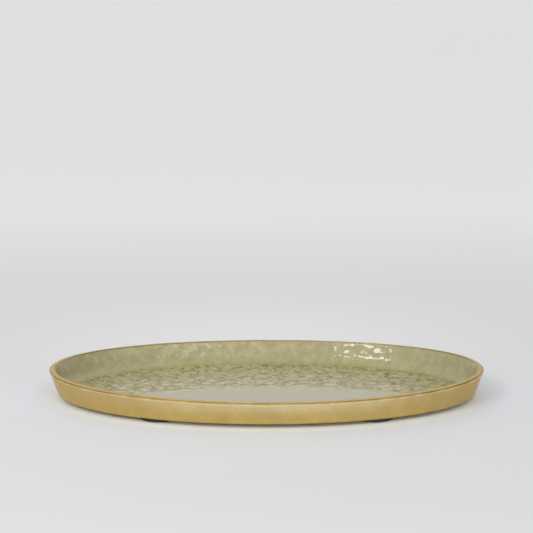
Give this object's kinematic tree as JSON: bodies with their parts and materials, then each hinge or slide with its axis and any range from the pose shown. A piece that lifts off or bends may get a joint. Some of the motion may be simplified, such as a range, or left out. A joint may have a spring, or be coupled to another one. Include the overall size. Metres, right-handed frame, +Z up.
{
  "type": "tray",
  "caption": "Oval cast serving tray with a low leaning wall, a thick rim that lifts towards the ends, an enamelled hollow and round foot pads.",
  "frame": {"origin": "on the surface that the pads stand on, below the middle of the tray", "axes": "+X along the tray's length, +Y to its back, +Z up"},
  "size_m": [0.35, 0.2, 0.0239],
  "materials": {
    "cast_brass": "satin, fine cast grain",
    "enamel": "glossy olive, hammered surface",
    "pad_rubber": "matte",
    "adhesive": "matte"
  },
  "bodies": {
    "root": {"tray_body": "cast_brass", "enamel_lining": "enamel", "pad_front_left": "pad_rubber", "pad_front_right": "pad_rubber", "pad_back_left": "pad_rubber", "pad_back_right": "pad_rubber", "adhesive_front_left": "adhesive", "adhesive_front_right": "adhesive", "adhesive_back_left": "adhesive", "adhesive_back_right": "adhesive"}
  },
  "joints": []
}
